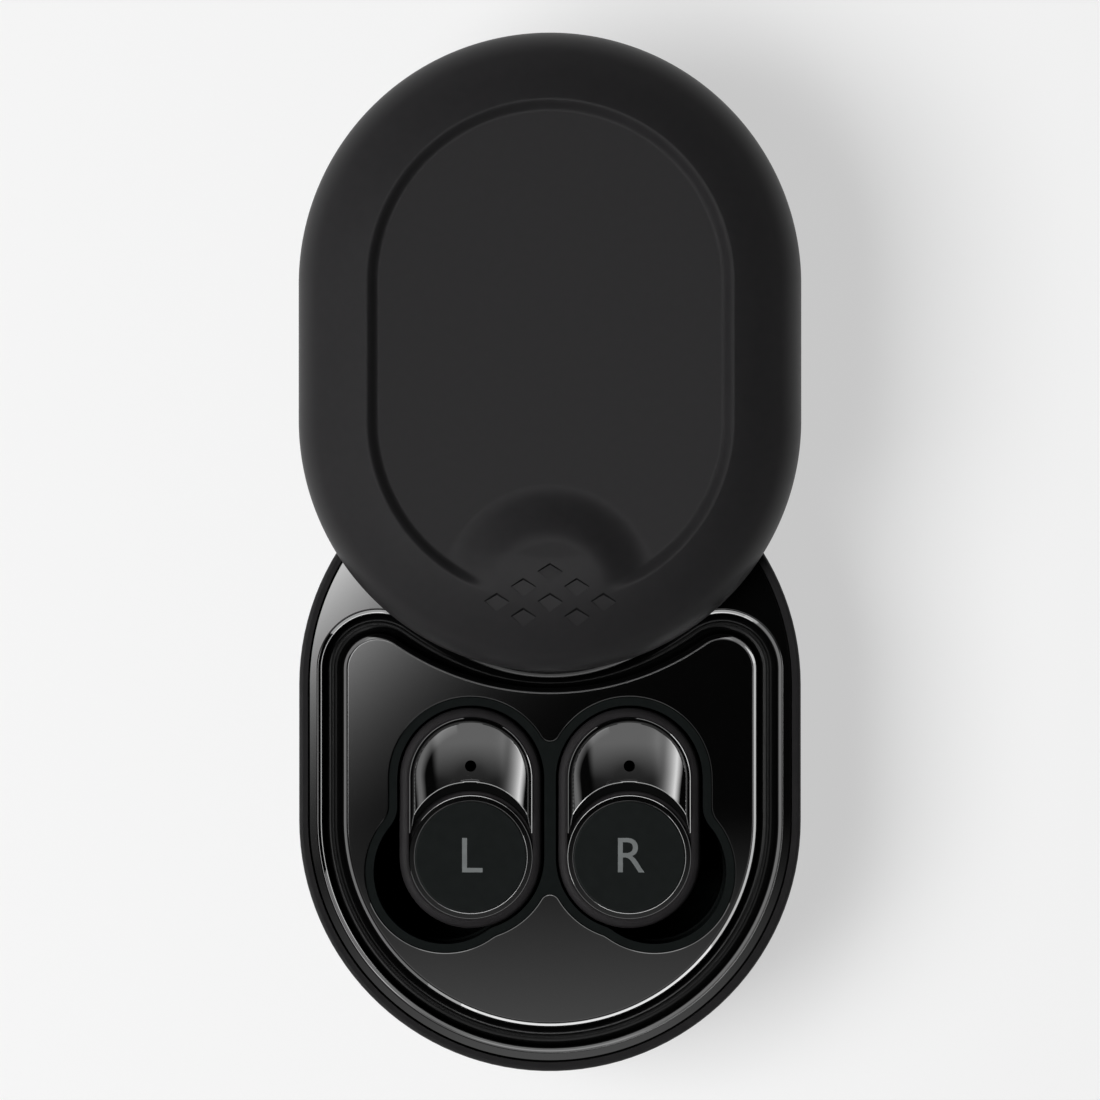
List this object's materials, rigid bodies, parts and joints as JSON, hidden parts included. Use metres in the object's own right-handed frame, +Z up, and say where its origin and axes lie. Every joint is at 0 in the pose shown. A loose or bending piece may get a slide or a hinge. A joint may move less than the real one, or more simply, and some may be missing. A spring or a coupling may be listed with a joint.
{
  "type": "wireless earbuds case",
  "caption": "Pebble-shaped charging case whose domed lid slides back to show wireless earbuds seated in a glossy deck; the earbuds lift out.",
  "frame": {"origin": "middle of the flat underside of the base, on the table", "axes": "+Z up from the table, +Y the way the lid slides to open, towards the charging socket, +X to the right seen from above"},
  "size_m": [0.0616, 0.1272, 0.033],
  "materials": {
    "soft_touch": "soft-touch matte",
    "gloss_black": "polished",
    "liner_black": "fine matte",
    "shoe_plastic": "plain moulded",
    "steel": "bright",
    "contact_gold": "plated",
    "coil_copper": "enamelled wire",
    "board_green": "lacquered",
    "cell_foil": "foil",
    "ferrite": "matte",
    "silicone": "matte",
    "lamp_white": "plain",
    "light_clear": "frosted"
  },
  "bodies": {
    "base": {"base_shell": "soft_touch", "deck_plate": "gloss_black", "earbud_cradle": "liner_black", "left_slide_shoe": "shoe_plastic", "right_slide_shoe": "shoe_plastic", "shoe_screws": "steel", "catch_magnets": "steel", "battery": "cell_foil", "main_board": "board_green", "board_screws": "steel", "usb_socket": "steel", "charging_coil": "coil_copper", "coil_shield": "ferrite", "charge_board": "board_green", "charge_board_screws": "steel", "pin_barrels": "contact_gold", "well_magnets": "steel", "pairing_switch": "steel", "status_lamp": "lamp_white", "light_pipe": "light_clear"},
    "lid": {"lid_shell": "soft_touch", "lid_liner": "liner_black", "left_slide_rail": "steel", "right_slide_rail": "steel", "rail_screws": "steel", "lid_magnet": "steel"},
    "left_bud": {"left_bud_housing": "soft_touch", "left_stem_cap": "gloss_black", "left_touch_disc": "liner_black", "left_disc_ring": "gloss_black", "left_ear_shell": "soft_touch", "left_nozzle_mesh": "steel", "left_ear_tip": "silicone", "left_driver": "steel", "left_bud_cell": "cell_foil", "left_bud_board": "board_green", "left_microphone": "steel", "left_bud_magnet": "steel", "left_contacts": "contact_gold"},
    "right_bud": {"right_bud_housing": "soft_touch", "right_stem_cap": "gloss_black", "right_touch_disc": "liner_black", "right_disc_ring": "gloss_black", "right_ear_shell": "soft_touch", "right_nozzle_mesh": "steel", "right_ear_tip": "silicone", "right_driver": "steel", "right_bud_cell": "cell_foil", "right_bud_board": "board_green", "right_microphone": "steel", "right_bud_magnet": "steel", "right_contacts": "contact_gold"},
    "pairing_button": {"pairing_button": "liner_black"},
    "left_pins": {"left_charging_pins": "contact_gold"},
    "right_pins": {"right_charging_pins": "contact_gold"}
  },
  "joints": [
    {"name": "lid_slide", "type": "slide", "parent": "base", "child": "lid", "axis": [0, 1, 0], "range_m": [-0.049, 0]},
    {"name": "left_bud_lift", "type": "slide", "parent": "base", "child": "left_bud", "axis": [0, 0, 1], "range_m": [0, 0.035]},
    {"name": "right_bud_lift", "type": "slide", "parent": "base", "child": "right_bud", "axis": [0, 0, 1], "range_m": [0, 0.035]},
    {"name": "pairing_press", "type": "slide", "parent": "base", "child": "pairing_button", "axis": [-0.3746, -0.9272, 0], "range_m": [0, 0.00035], "stiffness_N_per_m": 1500, "springref_m": -0.0004},
    {"name": "left_pin_press", "type": "slide", "parent": "base", "child": "left_pins", "axis": [0, 0, -1], "range_m": [0, 0.0004], "stiffness_N_per_m": 800, "springref_m": -0.0004},
    {"name": "right_pin_press", "type": "slide", "parent": "base", "child": "right_pins", "axis": [0, 0, -1], "range_m": [0, 0.0004], "stiffness_N_per_m": 800, "springref_m": -0.0004}
  ]
}
